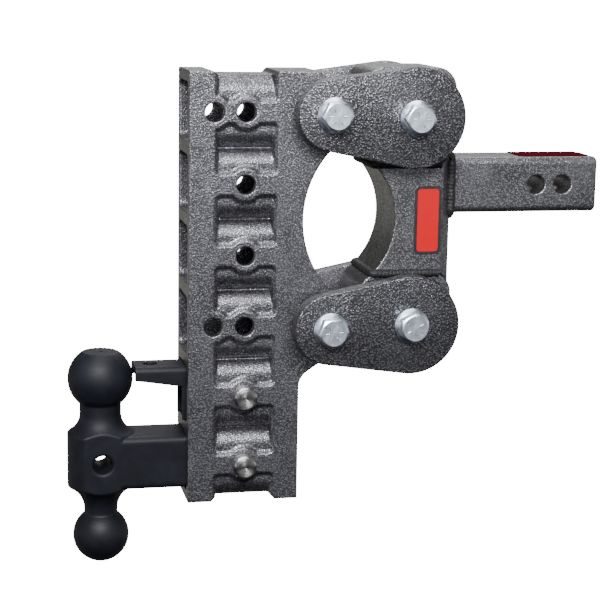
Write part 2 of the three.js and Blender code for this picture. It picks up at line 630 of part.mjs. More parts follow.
// An upside-down channel whose sides hang down into the column's fifth cell, where a hitch pin holds them.
function buildPintleLock() {
  const cheek = polygon([
    [LOCK_FREE_END, LOCK_TOP],
    [LOCK_FREE_END, LOCK_TOP - LOCK_CHEEK[0]],
    [LOCK_LEG_X, LOCK_TOP - LOCK_CHEEK[1]],
    [LOCK_LEG_X, LOCK_TOP - LOCK_DEPTH],
    [LOCK_END, LOCK_TOP - LOCK_DEPTH],
    [LOCK_END, LOCK_TOP],
  ]);
  const whole = plateXZ(cheek, -LOCK_HALF_WIDTH, LOCK_HALF_WIDTH);
  const inside = LOCK_HALF_WIDTH - LOCK_WALL;
  const hollow = box(-450, -200, -inside, inside, -260, LOCK_TOP - LOCK_WALL);
  const pinHole = roundY([HOLE_X, rowZ(4)], PIN_HOLE, -CLEAR, CLEAR, HOLE_SIDES);
  const slot = slabXY(roundedRectangle(LOCK_HOLE, LOCK_HOLE, LOCK_HOLE - 0.1, [LOCK_HOLE_X, 0]), -200, -100);
  addPiece("pintle_lock", cut(whole, hollow, pinHole, slot), BLACK_PAINT);
}

// A headed pin with a cross hole near its tip, and the spring clip that goes through the hole.
function buildHitchPin(name, row) {
  const z = rowZ(row);
  const face = HALF_THICK + GAP;
  const profile = [
    [0, -PIN_HEAD_END],
    [PIN_HEAD - 2, -PIN_HEAD_END],
    [PIN_HEAD, 2 - PIN_HEAD_END],
    [PIN_HEAD, -face],
    [PIN_RADIUS, -face],
    [PIN_RADIUS, PIN_TIP - 2],
    [PIN_RADIUS - 2, PIN_TIP],
    [0, PIN_TIP],
  ].map(([r, y]) => new THREE.Vector2(r, y));
  const pin = solid(new THREE.LatheGeometry(profile, ROUND).translate(HOLE_X, 0, z));
  const hole = new THREE.CylinderGeometry(CLIP_WIRE + GAP, CLIP_WIRE + GAP, 40, 10);
  const crossHole = solid(hole.rotateX(Math.PI / 2).translate(HOLE_X, CLIP_Y, z));
  addPiece(name, cut(pin, crossHole), STAINLESS);

  const route = [
    [0, -17], [0, -6], [0, 6], [0, 13], [2, 18.5], [7, 21], [11.5, 17.5], [11, 12],
    [11.4, 6], [11.6, 0], [10.5, -6], [7, -11], [6, -14.5], [8, -18.5],
  ].map(([dx, dz]) => new THREE.Vector3(HOLE_X + dx, CLIP_Y, z + dz));
  const wire = new THREE.Shape();
  wire.absarc(0, 0, CLIP_WIRE, 0, 2 * Math.PI);
  const clip = new THREE.ExtrudeGeometry(wire, {
    steps: 34,
    curveSegments: 3,
    bevelEnabled: false,
    extrudePath: new THREE.CatmullRomCurve3(route),
  });
  addPiece(`${name}_clip`, solid(clip), SPRING_STEEL);
}

buildShank();
buildKnuckle();
for (const level of LEVELS) {
  buildHousing(level);
  buildTorsionBar(level);
  buildColumnPivot(level);
  buildLink(level);
}
buildColumn();
buildBallMount();
buildPintleLock();
buildHitchPin("upper_hitch_pin", 4);
buildHitchPin("lower_hitch_pin", 5);

export default hitch;
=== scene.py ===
import math

import bmesh
import bpy
from mathutils import Matrix, Vector


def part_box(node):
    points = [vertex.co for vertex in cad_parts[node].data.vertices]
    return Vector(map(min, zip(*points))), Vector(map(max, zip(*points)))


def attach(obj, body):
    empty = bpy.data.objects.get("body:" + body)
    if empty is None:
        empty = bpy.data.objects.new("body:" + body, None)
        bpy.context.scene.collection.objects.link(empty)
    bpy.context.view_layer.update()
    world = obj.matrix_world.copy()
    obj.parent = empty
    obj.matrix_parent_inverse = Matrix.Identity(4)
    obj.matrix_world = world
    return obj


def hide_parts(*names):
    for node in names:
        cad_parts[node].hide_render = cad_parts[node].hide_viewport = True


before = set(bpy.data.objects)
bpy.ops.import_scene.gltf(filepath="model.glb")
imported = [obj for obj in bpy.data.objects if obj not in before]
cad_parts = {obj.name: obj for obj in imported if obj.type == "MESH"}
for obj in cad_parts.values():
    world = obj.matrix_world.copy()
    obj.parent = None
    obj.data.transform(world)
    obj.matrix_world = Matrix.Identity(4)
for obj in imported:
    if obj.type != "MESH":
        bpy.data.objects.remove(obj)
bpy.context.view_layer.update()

# The looks of a drop hitch. Sizes are in millimetres, with +X to the vehicle, Y across it and +Z up, and
# mesh_object() turns them into metres. Only the studio and the camera are given in metres. The near side is
# at -Y and the far side at +Y.
MM = 0.001
LEVELS = ("upper", "lower")
SIDES = {"near": -1, "far": 1}


def box_of(node):
    low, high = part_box(node)
    return low / MM, high / MM


def centre_of(node):
    low, high = box_of(node)
    return (low + high) / 2


PIVOTS = {
    level: {
        "column": centre_of(f"{level}_column_bolt_near").xz,
        "bar": centre_of(f"{level}_bar_bolt_near").xz,
    }
    for level in LEVELS
}
COLUMN_LOW, COLUMN_HIGH = box_of("drop_column")
HALF_THICK = COLUMN_HIGH.y
MID_Z = (PIVOTS["upper"]["bar"].y + PIVOTS["lower"]["bar"].y) / 2
TOOL_REACH = 80  # half the length of a tool that cuts right through

# Rows of pin holes in the column.
PITCH = 63.5
ROWS = 6
HOLE_X = centre_of("upper_hitch_pin").x
ROW_1_Z = centre_of("upper_hitch_pin").z + 4 * PITCH
ROW_Z = [ROW_1_Z - PITCH * row for row in range(ROWS)]
EXTRA_HOLE_X = HOLE_X - 28.3
EXTRA_HOLE_ROWS = (0, 3)
PIN_HOLE = 8.35

# The column's side outline, its cells and its pockets.
COLUMN_RIGHT = -246.6
SHOULDER_X = -231
LUG_RADIUS = 27
WINDOW_RADIUS = 91
UNDERCUT_SLOPE = 34
UNDERCUT_FILLET = 17
LUG_BORE = 19
CELL_END = -258.5
CELL_HALF_WIDTH = 26
CELL_HALF_HEIGHT = 25.9
CELL_CORNER = 6
BOSS_RADIUS = 13.9
POCKET_HALF_WIDTH = 28.2
POCKET_HALF_HEIGHT = PITCH / 2 - 8.4
POCKET_CORNER = 5
POCKET_DRAFT = 3.2
POCKET_FLOOR = 3.1
POCKET_FILLET = 4.5
WALL_ROUND = 15
WALL_TURN = 76
NOTCH_DROP = 3.5
NOTCH_SLOPE = 4
NOTCH_TOOL_RISE = 5
VALLEY_ENDS = (-400, -200)

# Knuckle and housings.
KNUCKLE_BACK = box_of("knuckle_block")[1].x
KNUCKLE_ARC_RADIUS = 70
KNUCKLE_ARC_DEEPEST = -161
KNUCKLE_CHAMFER = 9.6
HEEL_DEPTH = 13
HEEL_LENGTH = 17
KNUCKLE_PLAN_FRONT = -250
KNUCKLE_PLAN_HEIGHTS = (-150, 100)
FIT_GAP = 0.3
HOUSING_CORNER = 19
CAVITY_HALF = 33.6
CAVITY_CORNER = 9
CORD_CHAMFER = 1.5
BADGE_CORNER = 5
BADGE_BORDER = 2.6
BADGE_FACE_CORNER = 3.2

# Shank and welds.
SHANK_CORNER = 6
SHANK_CHAMFER = 2
SHANK_HOLES_X = (0, -25.4)
SHANK_BEAD = 3.7
HOUSING_BEAD = 3.5
HOUSING_BEAD_INSET = 3.2
BEAD_CORNER = 5

# Links and bolts.
PLATE_SMALL = 31.75
PLATE_BIG = 44.45
PLATE_ROUND = 1.2
BAR_CORNER = 2.2
BAR_ROUND = 0.8
PIVOT_CHAMFER = 1
BUSHING_BORE = 16.0
WASHER_BORE = 16.6
BOLT_ACROSS_FLATS = 24
BOLT_SHANK = 7.94
BOLT_HEAD = 15
BOLT_SHANK_LENGTH = 20
BOLT_CHAMFER = (2.7, 1.6)
MARK_RISE = 0.4
MARK_ENDS = (4.6, 8.0)
MARK_HALF_WIDTHS = (0.8, 0.15)  # at its foot and its crest
BOLT_TURN = {  # where each bolt has stopped, in degrees
    "upper": {"column": 2, "bar": -3},
    "lower": {"column": 5, "bar": 29},
}

# Ball mount and pintle lock.
BALL_X = -422.4
UPPER_BALL = (-174.6, 2.3125 * 25.4 / 2)
LOWER_BALL = (-320.8, 25.4)
UPPER_NECK = 18.7
LOWER_NECK = 15.2
UPPER_FLAT = 16
LOWER_FLAT = 7
HUB_RADIUS = 30.1
HUB_TOP = -224.5
HUB_BOTTOM = -274
HUB_HALF_WIDTH = 25.4
ARM_Z = -249.6
ARM_HALF_HEIGHT = 24.1
ARM_CORNER = 5
CROSS_HOLE_MOUTH = 1.6
FLATS_X = (-500, -300)
BALL_MOUNT_ROW = 5
LOCK_ROW = 4
LOCK_WALL = 5
LOCK_LEG_X = -350
LOCK_CHEEK = (12, 18.5)
LOCK_HOLE_X = -377.5
LOCK_HOLE = 6.3
LOCK_BEND = (5, 2.5)  # outside and inside

# Hitch pins and their clips. A clip's route is measured from its pin's axis, across and up.
PIN_RADIUS = 7.9
CLIP_HOLE = 1.8
CLIP_WIRE = 1.5
CLIP_ROUTE = (
    (0, -17), (0, -6), (0, 6), (0, 13), (2, 18.5), (7, 21), (11.5, 17.5), (11, 12),
    (11.4, 6), (11.6, 0), (11.2, -6), (9.4, -11), (8.7, -14), (10.8, -18.5),
)


# Meshes


def mesh_object(name, points, faces):
    mesh = bpy.data.meshes.new(name)
    mesh.from_pydata([Vector(p) * MM for p in points], [], faces)
    work = bmesh.new()
    work.from_mesh(mesh)
    bmesh.ops.recalc_face_normals(work, faces=work.faces)
    work.to_mesh(mesh)
    work.free()
    obj = bpy.data.objects.new(name, mesh)
    bpy.context.scene.collection.objects.link(obj)
    return obj


def loft(name, loops, closed=False):
    """A skin over rings of points of one length. Its ends are capped, or joined to each other when closed."""
    count = len(loops[0])
    points = [p for ring in loops for p in ring]
    last = len(points) - count
    faces = [] if closed else [tuple(range(count)), tuple(range(last, last + count))]
    rings = len(loops)
    for k in range(rings if closed else rings - 1):
        here, there = k * count, (k + 1) % rings * count
        for i in range(count):
            j = (i + 1) % count
            faces.append((here + i, here + j, there + j, there + i))
    return mesh_object(name, points, faces)


def arc(centre, radius, start, end, steps):
    """Points of an arc between two angles in degrees, both ends included."""
    cx, cy = centre
    turns = [math.radians(start + (end - start) * i / steps) for i in range(steps + 1)]
    return [(cx + radius * math.cos(t), cy + radius * math.sin(t)) for t in turns]


def rounded_box(half_width, half_height, corner, centre=(0, 0), steps=8):
    cx, cy = centre
    points = []
    for k, (sx, sy) in enumerate(((1, 1), (-1, 1), (-1, -1), (1, -1))):
        middle = (cx + sx * (half_width - corner), cy + sy * (half_height - corner))
        points += arc(middle, corner, 90 * k, 90 * k + 90, steps)
    return points


def prism_y(name, outline, y0, y1):
    return loft(name, [[(x, y, z) for x, z in outline] for y in (y0, y1)])


def prism_x(name, outline, x0, x1):
    return loft(name, [[(x, y, z) for y, z in outline] for x in (x0, x1)])


def prism_z(name, outline, z0, z1):
    return loft(name, [[(x, y, z) for x, y in outline] for z in (z0, z1)])


def box(name, x0, x1, y0, y1, z0, z1):
    return prism_z(name, [(x0, y0), (x1, y0), (x1, y1), (x0, y1)], z0, z1)


def soft_prism_y(name, outline_at, y0, y1, radius, steps=4):
    """A prism along Y whose long edges are rounded. outline_at gives the outline drawn in by a distance."""
    turns = [math.pi / 2 * i / steps for i in range(steps + 1)]
    insets = [radius * (1 - math.sin(t)) for t in turns]
    rises = [radius * (1 - math.cos(t)) for t in turns]
    levels = [(y0 + r, d) for r, d in zip(rises, insets)]
    levels += [(y1 - r, d) for r, d in zip(reversed(rises), reversed(insets))]
    return loft(name, [[(x, y, z) for x, z in outline_at(d)] for y, d in levels])


def lathe(name, profile, centre, along="Y", sides=64):
    """A turned solid. profile is (radius, place along the axis); centre is the other two coordinates."""
    rings = []
    for radius, place in profile:
        ring = []
        for a, b in arc(centre, max(radius, 0.01), 0, 360 * (sides - 1) / sides, sides - 1):
            ring.append((a, place, b) if along == "Y" else (a, b, place))
        rings.append(ring)
    return loft(name, rings)


def ring_y(name, centre, outer, inner, y0, y1, chamfer=0.6, sides=72):
    """A turned ring along Y, with chamfered edges."""
    profile = [
        (inner, y0 + chamfer),
        (inner + chamfer, y0),
        (outer - chamfer, y0),
        (outer, y0 + chamfer),
        (outer, y1 - chamfer),
        (outer - chamfer, y1),
        (inner + chamfer, y1),
        (inner, y1 - chamfer),
    ]
    rings = []
    for radius, y in profile:
        turned = arc(centre, radius, 0, 360 * (sides - 1) / sides, sides - 1)
        rings.append([(x, y, z) for x, z in turned])
    return loft(name, rings, closed=True)


def evaluated(obj):
    """Replaces obj's mesh with what its modifiers make of it."""
    graph = bpy.context.evaluated_depsgraph_get()
    mesh = bpy.data.meshes.new_from_object(obj.evaluated_get(graph))
    obj.modifiers.clear()
    old, obj.data = obj.data, mesh
    bpy.data.meshes.remove(old)


def combine(obj, tools, operation):
    for tool in tools:
        modifier = obj.modifiers.new("combine", "BOOLEAN")
        modifier.object = tool
        modifier.operation = operation
        modifier.solver = "MANIFOLD"
    evaluated(obj)
    for tool in tools:
        bpy.data.objects.remove(tool)
    return obj


def cut(obj, *tools):
    return combine(obj, tools, "DIFFERENCE")


def add(obj, *tools):
    return combine(obj, tools, "UNION")


def common(obj, *tools):
    return combine(obj, tools, "INTERSECT")


def hole_y(centre, radius):
    return lathe("hole", [(radius, -TOOL_REACH), (radius, TOOL_REACH)], centre)


def cast(obj, voxel, passes, faces):
    """Gives a piece the soft edges of a casting, in at most that many triangles."""
    remesh = obj.modifiers.new("remesh", "REMESH")
    remesh.mode = "VOXEL"
    remesh.voxel_size = voxel * 1 * MM
    smooth = obj.modifiers.new("smooth", "SMOOTH")
    smooth.factor = 0.5
    smooth.iterations = passes
    evaluated(obj)
    triangles = 2 * len(obj.data.polygons)
    if triangles > faces:
        decimate = obj.modifiers.new("decimate", "DECIMATE")
        decimate.ratio = faces / triangles
        evaluated(obj)


# Materials

PAINT_CELL = 1.5
GROOVE_PITCH = 0.42
STREAK_SCALE = 3000.0


class Shader:
    """A Principled material whose nodes are added one after another."""

    def __init__(self, name, **values):
        self.material = bpy.data.materials.new(name)
        self.material.use_nodes = True
        self.tree = self.material.node_tree
        self.principled = self.tree.nodes["Principled BSDF"]
        for socket, value in values.items():
            self.principled.inputs[socket.replace("_", " ")].default_value = value
        self.place = self.node("ShaderNodeTexCoord").outputs["Object"]

    def node(self, kind, inputs=None, **settings):
        made = self.tree.nodes.new(kind)
        for key, value in settings.items():
            setattr(made, key, value)
        for key, value in (inputs or {}).items():
            if isinstance(value, bpy.types.NodeSocket):
                self.tree.links.new(value, made.inputs[key])
            else:
                made.inputs[key].default_value = value
        return made

    def noise(self, size, detail=3, roughness=0.55, place=None, distortion=0):
        """Noise whose features are about size millimetres across."""
        inputs = {
            "Vector": place or self.place,
            "Scale": 1 / (size * MM),
            "Detail": detail,
            "Roughness": roughness,
            "Distortion": distortion,
        }
        return self.node("ShaderNodeTexNoise", inputs)

    def cells(self, size, place, smoothness):
        """Rounded cells about size millimetres across."""
        inputs = {"Vector": place, "Scale": 1 / (size * MM)}
        made = self.node("ShaderNodeTexVoronoi", inputs, feature="SMOOTH_F1")
        made.inputs["Smoothness"].default_value = smoothness
        return made

    def math(self, operation, a, b=0.5, c=0.5):
        """One step of arithmetic. An operation ignores the inputs that it has no use for."""
        return self.node("ShaderNodeMath", {0: a, 1: b, 2: c}, operation=operation).outputs[0]

    def ramp(self, value, low, high, to_low=0.0, to_high=1.0):
        inputs = {"Value": value, 1: low, 2: high, 3: to_low, 4: to_high}
        return self.node("ShaderNodeMapRange", inputs, clamp=True).outputs[0]

    def mix(self, share, a, b):
        """A colour between a and b. Sockets 0, 6 and 7 of the node are its share and its two colours."""
        made = self.node("ShaderNodeMix", data_type="RGBA")
        for key, value in ((0, share), (6, a), (7, b)):
            if isinstance(value, bpy.types.NodeSocket):
                self.tree.links.new(value, made.inputs[key])
            elif key:
                made.inputs[key].default_value = (*value, 1)
            else:
                made.inputs[key].default_value = value
        return made.outputs[2]

    def warped(self, size, amount):
        """The object's coordinates, shifted about by noise of that size, by up to amount millimetres."""
        noise = self.noise(size, 2)
        inputs = {0: noise.outputs["Color"], 1: (0.5,) * 3}
        around_zero = self.node("ShaderNodeVectorMath", inputs, operation="SUBTRACT")
        inputs = {0: around_zero.outputs[0], "Scale": 2 * amount * MM}
        scaled = self.node("ShaderNodeVectorMath", inputs, operation="SCALE")
        return self.node("ShaderNodeVectorMath", {0: self.place, 1: scaled.outputs[0]}).outputs[0]

    def bump(self, height, depth, under=None):
        """A bump as deep as depth millimetres. under is a bump below it."""
        inputs = {"Height": height, "Distance": depth * MM, "Strength": 1}
        if under:
            inputs["Normal"] = under
        return self.node("ShaderNodeBump", inputs).outputs[0]

    def wire(self, **sockets):
        """Links the shader's sockets, with _ for a space in a name, and gives back the material."""
        for socket, value in sockets.items():
            self.tree.links.new(value, self.principled.inputs[socket.replace("_", " ")])
        return self.material


def hammered_paint(name, dark, light, cell=PAINT_CELL, depth=0.3, glossy=0.2, contrast=0.9, metal=0.9):
    """Silver-vein powder coat: small lumps parted by wrinkles, over a slightly uneven casting. Its colour is
    lighter on the lumps and darker in the wrinkles, partly the coat's own vein pattern and partly painted
    glints and painted shade.
    """
    s = Shader(name, Metallic=metal)
    place = s.warped(cell * 2.2, cell * 0.4)
    lumps = s.cells(cell, place, 0.35)
    grit = s.noise(cell * 0.6, 2, 0.5, place)
    broad = s.noise(38, 2, 0.5)
    mound = s.math("SUBTRACT", 0.75, lumps.outputs["Distance"])
    height = s.math("MULTIPLY_ADD", grit.outputs[0], 0.45, mound)
    # Lighter colour on the lumps and darker in the wrinkles, following their height: partly the coat's own
    # vein pattern, partly painted glints on the lumps and painted shade in the wrinkles.
    shine = s.ramp(height, 0.52, 0.86)
    base = s.mix(s.math("MULTIPLY_ADD", shine, contrast, 1 - contrast), dark, light)
    shaded = s.mix(s.ramp(broad.outputs[0], 0.35, 0.7, 0.0, 0.25), base, tuple(0.55 * c for c in light))
    normal = s.bump(height, depth, s.bump(broad.outputs[0], 0.4))
    rough = s.ramp(shine, 0.0, 1.0, glossy + 0.2, glossy)
    return s.wire(Base_Color=shaded, Roughness=rough, Normal=normal)


def satin_black(name):
    """Fine satin powder coat with faint rubbed patches."""
    s = Shader(name, Metallic=0.0, Specular_IOR_Level=0.24)
    fine = s.noise(0.55, 3, 0.6)
    rubbed = s.noise(16, 5, 0.6, distortion=0.4)
    colour = s.mix(s.ramp(rubbed.outputs[0], 0.42, 0.75), (0.004, 0.0045, 0.008), (0.007, 0.008, 0.013))
    rough = s.ramp(rubbed.outputs[0], 0.3, 0.75, 0.50, 0.58)
    normal = s.bump(fine.outputs[0], 0.035, s.bump(s.noise(7, 2).outputs[0], 0.06))
    return s.wire(Base_Color=colour, Roughness=rough, Normal=normal)


def plated_steel(name, colour, tint, rough=0.26, grain=1.1):
    """Bright plated steel, cloudy between two colours and very slightly grained."""
    s = Shader(name, Metallic=1.0)
    cloud = s.noise(5, 4, 0.6)
    fine = s.noise(grain, 3, 0.6)
    base = s.mix(s.ramp(cloud.outputs[0], 0.35, 0.68), colour, tint)
    roughness = s.ramp(cloud.outputs[0], 0.3, 0.7, rough - 0.05, rough + 0.14)
    return s.wire(Base_Color=base, Roughness=roughness, Normal=s.bump(fine.outputs[0], 0.03))


def turned_steel(name, colour, rough=0.24):
    """Lathe-turned steel. The piece's own origin is on its axis, which runs along Y."""
    s = Shader(name, Metallic=1.0, Anisotropic=0.85, Anisotropic_Rotation=0.25)
    brushed = s.node("ShaderNodeTangent", direction_type="RADIAL", axis="Y")
    parts = s.node("ShaderNodeSeparateXYZ", {0: s.place})
    squares = [s.math("MULTIPLY", parts.outputs[k], parts.outputs[k]) for k in (0, 2)]
    radius = s.math("SQRT", s.math("ADD", *squares))
    along = s.math("ADD", radius, parts.outputs[1])
    grooves = s.math("SINE", s.math("MULTIPLY", along, 2 * math.pi / (GROOVE_PITCH * MM)))
    smear = s.noise(3.5, 4, 0.6)
    inputs = {"W": s.math("MULTIPLY", along, STREAK_SCALE), "Detail": 2}
    line = s.node("ShaderNodeTexNoise", inputs, noise_dimensions="1D")
    base = s.mix(s.ramp(line.outputs[0], 0.3, 0.7), tuple(0.72 * c for c in colour), colour)
    roughness = s.ramp(smear.outputs[0], 0.3, 0.7, rough, rough + 0.16)
    normal = s.bump(grooves, 0.012)
    return s.wire(Base_Color=base, Roughness=roughness, Normal=normal, Tangent=brushed.outputs[0])


def rubber(name):
    """Black rubber with a dusty grey bloom."""
    s = Shader(name, Specular_IOR_Level=0.3)
    bloom = s.noise(9, 4, 0.6)
    base = s.mix(s.ramp(bloom.outputs[0], 0.4, 0.75), (0.012, 0.012, 0.012), (0.045, 0.044, 0.042))
    rough = s.ramp(bloom.outputs[0], 0.3, 0.8, 0.62, 0.85)
    normal = s.bump(s.noise(0.8, 3).outputs[0], 0.06)
    return s.wire(Base_Color=base, Roughness=rough, Normal=normal)


def printed(name, colour, worn, coat=0.4, shine=0.5):
    """A printed vinyl label, lightly scuffed."""
    s = Shader(name, Coat_Weight=coat, Coat_Roughness=0.15, Specular_IOR_Level=shine)
    scuff = s.noise(4, 6, 0.7)
    base = s.mix(s.ramp(scuff.outputs[0], 0.52, 0.75, 0, 0.5), colour, worn)
    rough = s.ramp(scuff.outputs[0], 0.3, 0.75, 0.25, 0.5)
    normal = s.bump(s.noise(12, 2).outputs[0], 0.08)
    return s.wire(Base_Color=base, Roughness=rough, Normal=normal)


COLUMN_PAINT = hammered_paint("column_paint", (0.03, 0.03, 0.034), (0.49, 0.49, 0.535))
KNUCKLE_PAINT = hammered_paint("knuckle_paint", (0.03, 0.03, 0.033), (0.52, 0.52, 0.56))
LINK_PAINT = hammered_paint("link_paint", (0.016, 0.016, 0.018), (0.35, 0.35, 0.38), cell=1.7, depth=0.42)
BLACK_PAINT = satin_black("black_paint")
ZINC = plated_steel("zinc", (0.72, 0.83, 0.93), (0.86, 0.93, 1.0), rough=0.30)
SPRING_STEEL = plated_steel("spring_steel", (0.60, 0.61, 0.63), (0.75, 0.76, 0.78), rough=0.2, grain=0.6)
STAINLESS = turned_steel("stainless", (0.46, 0.455, 0.45))
BARE_STEEL = turned_steel("bare_steel", (0.42, 0.42, 0.43), rough=0.34)
BRONZE = turned_steel("bronze", (0.58, 0.40, 0.22), rough=0.34)
RUBBER = rubber("rubber")
# The weld beads are painted like the knuckle. This near-black copy of the hammered paint is painted shade,
# for the shadowed gaps that the beads sit in.
WELD_IN_PAINTED_SHADE = hammered_paint(
    "weld",
    (0.010, 0.010, 0.011),
    (0.05, 0.05, 0.054),
    cell=2.2,
    depth=0.4,
    glossy=0.45,
    contrast=0.7,
    metal=0.6,
)
DECAL = printed("decal", (0.50, 0.003, 0.008), (0.44, 0.015, 0.02), coat=0.05, shine=0.2)
DECAL_BORDER = printed("decal_border", (0.012, 0.012, 0.013), (0.05, 0.05, 0.05))
LABEL = printed("label", (0.045, 0.004, 0.007), (0.06, 0.012, 0.014), coat=0.0, shine=0.0)


def dress(obj, material, slot, body, *nodes):
    """Gives a finished piece its material and makes it stand for CAD nodes on a body."""
    obj.data.materials.clear()
    obj.data.materials.append(material)
    obj.data.shade_smooth()
    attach(obj, body)
    if nodes:
        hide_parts(*nodes)


def sharp_by_angle(obj, degrees=35):
    """Keeps edges sharper than an angle as creases in the shading."""
    work = bmesh.new()
    work.from_mesh(obj.data)
    for edge in work.edges:
        edge.smooth = edge.calc_face_angle(0) < math.radians(degrees)
    work.to_mesh(obj.data)
    work.free()
    return obj


def centred(obj):
    """Moves the object's origin to the middle of its mesh, so that its texture is laid out from there."""
    corners = [Vector(c) for c in obj.bound_box]
    middle = (corners[0] + corners[6]) / 2
    obj.data.transform(Matrix.Translation(-middle))
    obj.location = middle
    return obj


# Column


def column_outline():
    """The column from the side: straight behind, with two lugs and a round window between them in front."""
    slope = math.radians(UNDERCUT_SLOPE)
    lug_x, upper_z = PIVOTS["upper"]["column"]
    lower_z = PIVOTS["lower"]["column"].y
    rise = (upper_z - lower_z) / 2
    window_x = lug_x + math.sqrt((WINDOW_RADIUS + LUG_RADIUS) ** 2 - rise**2)
    lean = math.degrees(math.atan2(rise, window_x - lug_x))
    touch_x = lug_x + LUG_RADIUS * math.sin(slope)
    touch_z = lower_z - LUG_RADIUS * math.cos(slope)
    end_x = COLUMN_RIGHT + UNDERCUT_FILLET * (1 - math.sin(slope))
    end_z = touch_z + (end_x - touch_x) * math.tan(slope)
    fillet = (COLUMN_RIGHT + UNDERCUT_FILLET, end_z - UNDERCUT_FILLET * math.cos(slope))
    top, bottom, left = COLUMN_HIGH.z, COLUMN_LOW.z, COLUMN_LOW.x
    return [
        (left, bottom),
        (COLUMN_RIGHT, bottom),
        *arc(fillet, UNDERCUT_FILLET, 180, 90 + UNDERCUT_SLOPE, 12),
        *arc((lug_x, lower_z), LUG_RADIUS, UNDERCUT_SLOPE - 90, lean, 24),
        *arc((window_x, MID_Z), WINDOW_RADIUS, 180 + lean, 180 - lean, 64),
        *arc((lug_x, upper_z), LUG_RADIUS, -lean, 90, 24),
        (SHOULDER_X, top),
        (left, top),
    ]


def pocket_outline(inset, z):
    """A pocket's outline round the height z, drawn in by inset. Its level edges bend round the bosses."""
    width, edge = POCKET_HALF_WIDTH - inset, POCKET_HALF_HEIGHT - inset
    corner, fillet, boss = POCKET_CORNER - inset, POCKET_FILLET - inset, BOSS_RADIUS + inset
    rise = fillet - edge + PITCH / 2
    reach = math.sqrt((boss + fillet) ** 2 - rise**2)
    lean = math.degrees(math.atan2(rise, reach))
    half = [
        *arc((corner - width, corner - edge), corner, 180, 270, 6),
        *arc((-reach, fillet - edge), fillet, -90, -lean, 6),
        *arc((0, -PITCH / 2), boss, 180 - lean, lean, 18),
        *arc((reach, fillet - edge), fillet, lean - 180, -90, 6),
        *arc((width - corner, corner - edge), corner, -90, 0, 6),
    ]
    return [(HOLE_X + k * x, z + k * dz) for k in (1, -1) for x, dz in half]


def pocket_tool(z, side):
    """The tool that sinks a pocket into one face, over the valley between two cells' rounded walls."""

    def y(depth):
        return side * (HALF_THICK - depth)

    foot = POCKET_DRAFT + 1
    steps = ((-12, 0), (0, 0), (POCKET_FLOOR, POCKET_DRAFT), (POCKET_FLOOR + WALL_ROUND, foot))
    rings = [[(x, y(depth), dz) for x, dz in pocket_outline(inset, z)] for depth, inset in steps]
    tool = loft("pocket", rings)
    deep, half = POCKET_FLOOR + WALL_ROUND, POCKET_HALF_HEIGHT + 3
    profile = [
        (-11, -half),
        (POCKET_FLOOR, -half),
        *arc((deep, -WALL_ROUND), WALL_ROUND, 180, 180 - WALL_TURN, 14),
        *arc((deep, WALL_ROUND), WALL_ROUND, 180 + WALL_TURN, 180, 14),
        (POCKET_FLOOR, half),
        (-11, half),
    ]
    common(tool, prism_x("valley", [(y(depth), z + dz) for depth, dz in profile], *VALLEY_ENDS))
    bosses = []
    for row in EXTRA_HOLE_ROWS:
        if abs(ROW_Z[row] - z) < PITCH:
            flare = [(BOSS_RADIUS + inset, y(depth)) for depth, inset in steps[1:]]
            bosses.append(lathe("boss", flare, (EXTRA_HOLE_X, ROW_Z[row])))
    return cut(tool, *bosses) if bosses else tool


def notch_tool(z, direction):
    """The dip in the column's top or bottom end, between its corners."""
    half = POCKET_HALF_WIDTH + 1
    run = NOTCH_SLOPE * NOTCH_TOOL_RISE / NOTCH_DROP
    outline = [
        (HOLE_X - half - run, z + direction * NOTCH_TOOL_RISE),
        (HOLE_X - half + NOTCH_SLOPE, z - direction * NOTCH_DROP),
        (HOLE_X + half - NOTCH_SLOPE, z - direction * NOTCH_DROP),
        (HOLE_X + half + run, z + direction * NOTCH_TOOL_RISE),
    ]
    return prism_y("notch", outline, -TOOL_REACH, TOOL_REACH)


def build_column():
    column = prism_y("column", column_outline(), -HALF_THICK, HALF_THICK)
    tools = []
    for z in ROW_Z:
        cell = rounded_box(CELL_HALF_WIDTH, CELL_HALF_HEIGHT, CELL_CORNER, (0, z))
        tools.append(prism_x("cell", cell, COLUMN_LOW.x - 5, CELL_END))
        tools.append(hole_y((HOLE_X, z), PIN_HOLE))
    for row in EXTRA_HOLE_ROWS:
        tools.append(hole_y((EXTRA_HOLE_X, ROW_Z[row]), PIN_HOLE))
    for level in LEVELS:
        tools.append(hole_y(PIVOTS[level]["column"], LUG_BORE))
    for z in [ROW_Z[0] + PITCH / 2] + [z - PITCH / 2 for z in ROW_Z]:
        tools += [pocket_tool(z, side) for side in SIDES.values()]
    tools += [notch_tool(COLUMN_HIGH.z, 1), notch_tool(COLUMN_LOW.z, -1)]
    cut(column, *tools)
    cast(column, voxel=0.75, passes=2, faces=190_000)
    dress(column, COLUMN_PAINT, "column_paint", "column", "drop_column")


# Knuckle, housings, shank and welds


def housing_section(level):
    """The middle of a housing and half of its width."""
    low, high = box_of(f"{level}_torsion_housing")
    return centre_of(f"{level}_torsion_housing").xz, (high.x - low.x) / 2


def knuckle_outline():
    """The knuckle between its two housings: straight at the back and hollow in front."""
    middle, half = housing_section("upper")
    rise = middle.y - half - FIT_GAP - MID_Z
    lift = math.degrees(math.asin(rise / KNUCKLE_ARC_RADIUS))
    centre = (KNUCKLE_ARC_DEEPEST - KNUCKLE_ARC_RADIUS, MID_Z)
    hollow = arc(centre, KNUCKLE_ARC_RADIUS, lift, -lift, 48)
    return [(KNUCKLE_BACK, MID_Z - rise), (KNUCKLE_BACK, MID_Z + rise), *hollow]


